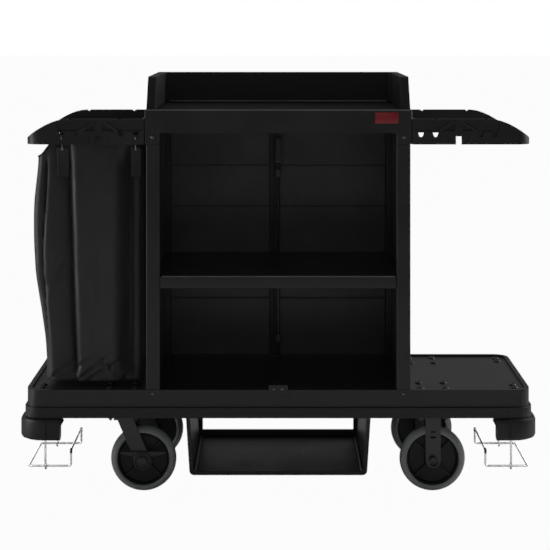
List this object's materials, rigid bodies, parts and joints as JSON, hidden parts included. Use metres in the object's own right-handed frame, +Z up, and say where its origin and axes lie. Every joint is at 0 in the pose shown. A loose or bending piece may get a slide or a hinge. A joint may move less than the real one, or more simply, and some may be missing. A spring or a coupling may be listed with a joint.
{
  "type": "housekeeping cart",
  "caption": "Black housekeeping cart with open shelves, a counter with a low gallery, a laundry bag holder at one end, an empty holder at the other and a tray below.",
  "frame": {"origin": "on the floor under the middle of the cart", "axes": "+X along the length towards the empty holder, the open front faces -Y, +Z up"},
  "size_m": [1.56, 0.564, 1.262],
  "materials": {
    "moulded_plastic": "satin black rotationally moulded plastic",
    "bumper_rubber": "satin black rubber",
    "bag_fabric": "black coated nylon",
    "dark_steel": "dark painted steel",
    "zinc_steel": "bright zinc plate",
    "wire_chrome": "bright chrome wire",
    "hub_plastic": "satin near-black plastic",
    "tyre_rubber": "grey non-marking rubber"
  },
  "bodies": {
    "cart": {"deck": "moulded_plastic", "mid_shelf": "moulded_plastic", "top_frame": "moulded_plastic", "counter_tray": "moulded_plastic", "hood": "moulded_plastic", "holder_left": "moulded_plastic", "holder_right": "moulded_plastic", "front_catch": "moulded_plastic", "side_panel_left": "moulded_plastic", "side_panel_right": "moulded_plastic", "under_tray": "moulded_plastic", "post_front_left": "moulded_plastic", "post_front_right": "moulded_plastic", "post_rear_left": "moulded_plastic", "post_rear_right": "moulded_plastic", "rub_rail": "bumper_rubber", "door_stop": "bumper_rubber", "bumper_front_left": "bumper_rubber", "bumper_front_right": "bumper_rubber", "bumper_rear_left": "bumper_rubber", "bumper_rear_right": "bumper_rubber", "laundry_bag": "bag_fabric", "rigid_fork_front_right": "dark_steel", "rigid_fork_rear_right": "dark_steel", "caster_plate_front_left": "dark_steel", "caster_plate_rear_left": "dark_steel", "axle_front_right": "dark_steel", "axle_rear_right": "dark_steel", "bag_hook_front_outer": "zinc_steel", "bag_hook_front_inner": "zinc_steel", "bag_hook_rear_outer": "zinc_steel", "bag_hook_rear_inner": "zinc_steel", "hinge_leaf_post_left": "zinc_steel", "hinge_leaf_post_right": "zinc_steel", "hinge_pin_left": "zinc_steel", "hinge_pin_right": "zinc_steel", "wire_cradle_left": "wire_chrome", "wire_cradle_right": "wire_chrome", "cradle_hanger_left": "wire_chrome", "cradle_hanger_right": "wire_chrome"},
    "caster_left_front": {"swivel_fork_front_left": "dark_steel", "axle_front_left": "dark_steel"},
    "brake_rocker_front": {"brake_rocker_front_left": "hub_plastic"},
    "wheel_front_left": {"wheel_hub_front_left": "hub_plastic", "tyre_front_left": "tyre_rubber"},
    "wheel_front_right": {"wheel_hub_front_right": "hub_plastic", "tyre_front_right": "tyre_rubber"},
    "caster_left_rear": {"swivel_fork_rear_left": "dark_steel", "axle_rear_left": "dark_steel"},
    "brake_rocker_rear": {"brake_rocker_rear_left": "hub_plastic"},
    "wheel_rear_left": {"wheel_hub_rear_left": "hub_plastic", "tyre_rear_left": "tyre_rubber"},
    "wheel_rear_right": {"wheel_hub_rear_right": "hub_plastic", "tyre_rear_right": "tyre_rubber"},
    "door_left": {"door_left": "moulded_plastic", "hinge_leaf_door_left": "zinc_steel"},
    "door_right": {"door_right": "moulded_plastic", "hinge_leaf_door_right": "zinc_steel"},
    "drop_bolt": {"drop_bolt": "dark_steel"}
  },
  "joints": [
    {"name": "caster_swivel_front", "type": "hinge", "parent": "cart", "child": "caster_left_front", "pos_m": [-0.47, -0.182, 0.2], "axis": [0, 0, 1], "continuous": true},
    {"name": "wheel_spin_front_left", "type": "hinge", "parent": "caster_left_front", "child": "wheel_front_left", "pos_m": [-0.41, -0.182, 0.1], "axis": [0, 1, 0], "continuous": true},
    {"name": "brake_rock_front", "type": "hinge", "parent": "caster_left_front", "child": "brake_rocker_front", "pos_m": [-0.41, -0.182, 0.1], "axis": [0, 1, 0], "range_deg": [0, 14]},
    {"name": "wheel_spin_front_right", "type": "hinge", "parent": "cart", "child": "wheel_front_right", "pos_m": [0.469, -0.182, 0.1], "axis": [0, 1, 0], "continuous": true},
    {"name": "caster_swivel_rear", "type": "hinge", "parent": "cart", "child": "caster_left_rear", "pos_m": [-0.47, 0.182, 0.2], "axis": [0, 0, 1], "continuous": true},
    {"name": "wheel_spin_rear_left", "type": "hinge", "parent": "caster_left_rear", "child": "wheel_rear_left", "pos_m": [-0.41, 0.182, 0.1], "axis": [0, 1, 0], "continuous": true},
    {"name": "brake_rock_rear", "type": "hinge", "parent": "caster_left_rear", "child": "brake_rocker_rear", "pos_m": [-0.41, 0.182, 0.1], "axis": [0, 1, 0], "range_deg": [0, 14]},
    {"name": "wheel_spin_rear_right", "type": "hinge", "parent": "cart", "child": "wheel_rear_right", "pos_m": [0.469, 0.182, 0.1], "axis": [0, 1, 0], "continuous": true},
    {"name": "door_hinge_left", "type": "hinge", "parent": "cart", "child": "door_left", "pos_m": [-0.4015, 0.27, 0.7], "axis": [0, 0, 1], "range_deg": [0, 170]},
    {"name": "door_hinge_right", "type": "hinge", "parent": "cart", "child": "door_right", "pos_m": [0.4015, 0.27, 0.7], "axis": [0, 0, -1], "range_deg": [0, 170]},
    {"name": "drop_bolt_slide", "type": "slide", "parent": "door_right", "child": "drop_bolt", "axis": [0, 0, 1], "range_m": [-0.018, 0]}
  ]
}
